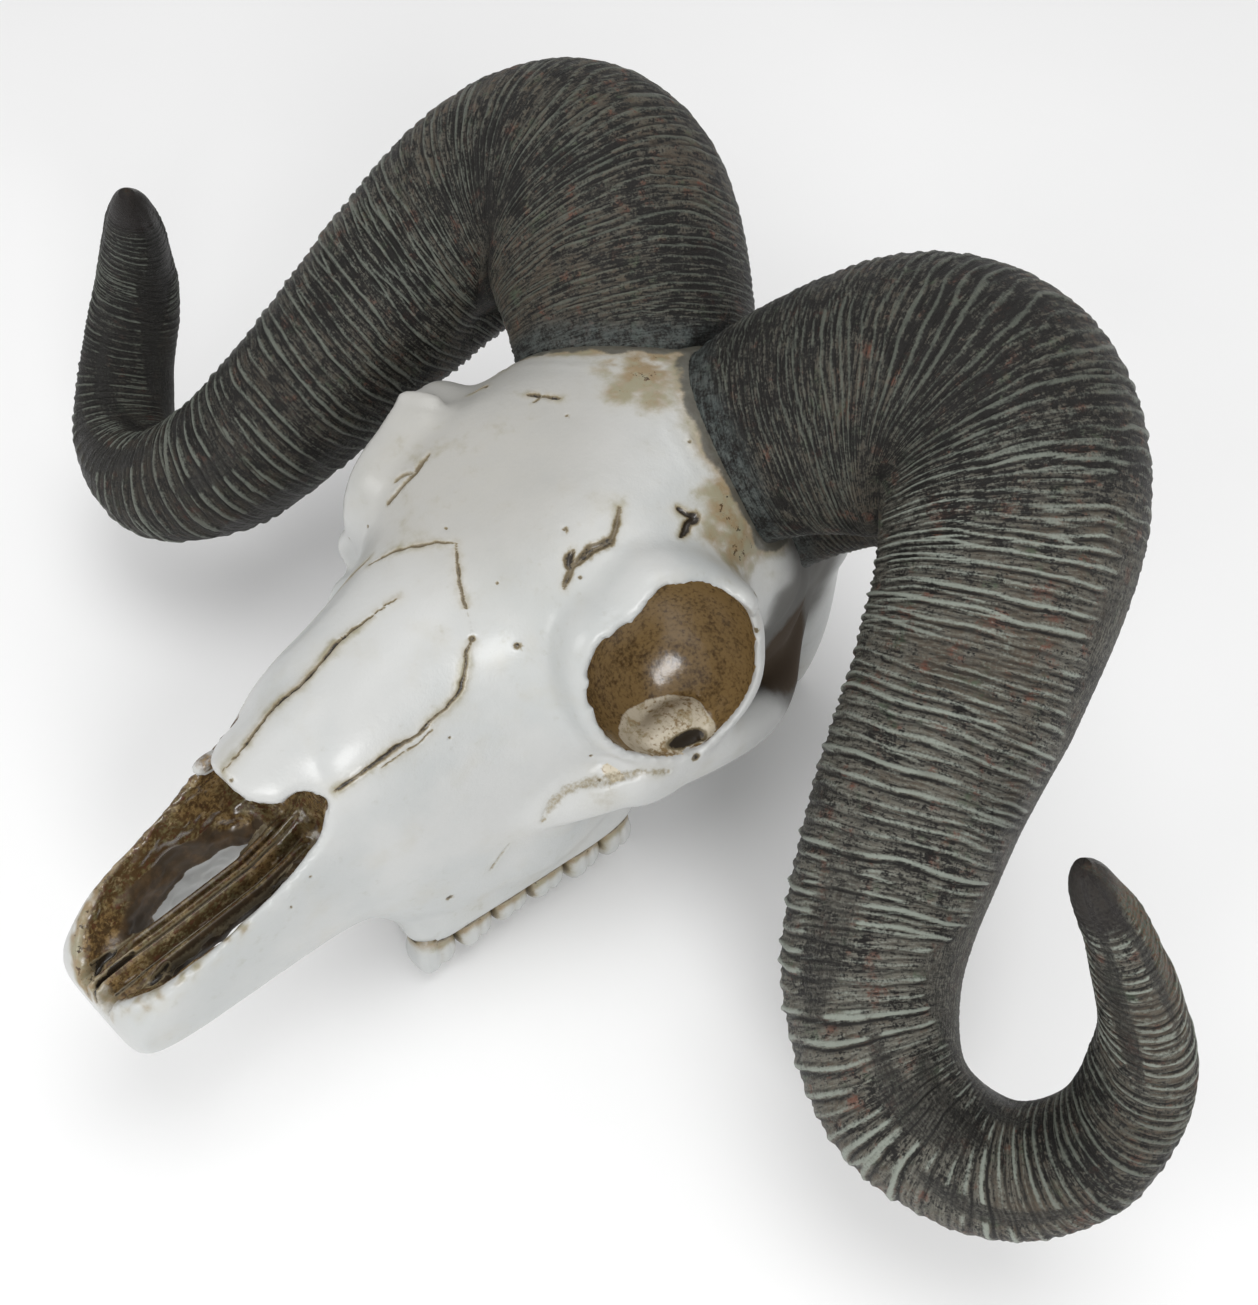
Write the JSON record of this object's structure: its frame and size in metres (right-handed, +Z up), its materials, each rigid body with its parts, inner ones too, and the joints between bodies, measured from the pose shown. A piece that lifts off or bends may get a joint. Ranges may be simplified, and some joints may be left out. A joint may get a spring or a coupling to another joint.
{
  "type": "resin ram skull ornament",
  "caption": "Life-size cast resin ram skull with curled ridged horns, open eye sockets and upper cheek teeth, without its lower jaw.",
  "frame": {"origin": "middle of the overall box in plan, on the floor plane that the teeth and the two jugular processes stand on", "axes": "+Z up, -Y towards the nose, +X towards the animal's left"},
  "size_m": [0.4208, 0.2754, 0.1799],
  "materials": {
    "bone": "cast resin painted bone white, glossy, stained brown in the hollows",
    "horn": "cast resin painted dark grey, lighter on the ridges, satin"
  },
  "bodies": {
    "root": {"premaxilla_left": "bone", "premaxilla_right": "bone", "nasal_left": "bone", "nasal_right": "bone", "maxilla_left": "bone", "maxilla_right": "bone", "forehead": "bone", "cheekbone_left": "bone", "cheekbone_right": "bone", "braincase": "bone", "occiput": "bone", "horn_left_base": "horn", "horn_left_arch": "horn", "horn_left_drop": "horn", "horn_left_hook": "horn", "horn_left_tip": "horn", "horn_right_base": "horn", "horn_right_arch": "horn", "horn_right_drop": "horn", "horn_right_hook": "horn", "horn_right_tip": "horn"}
  },
  "joints": []
}
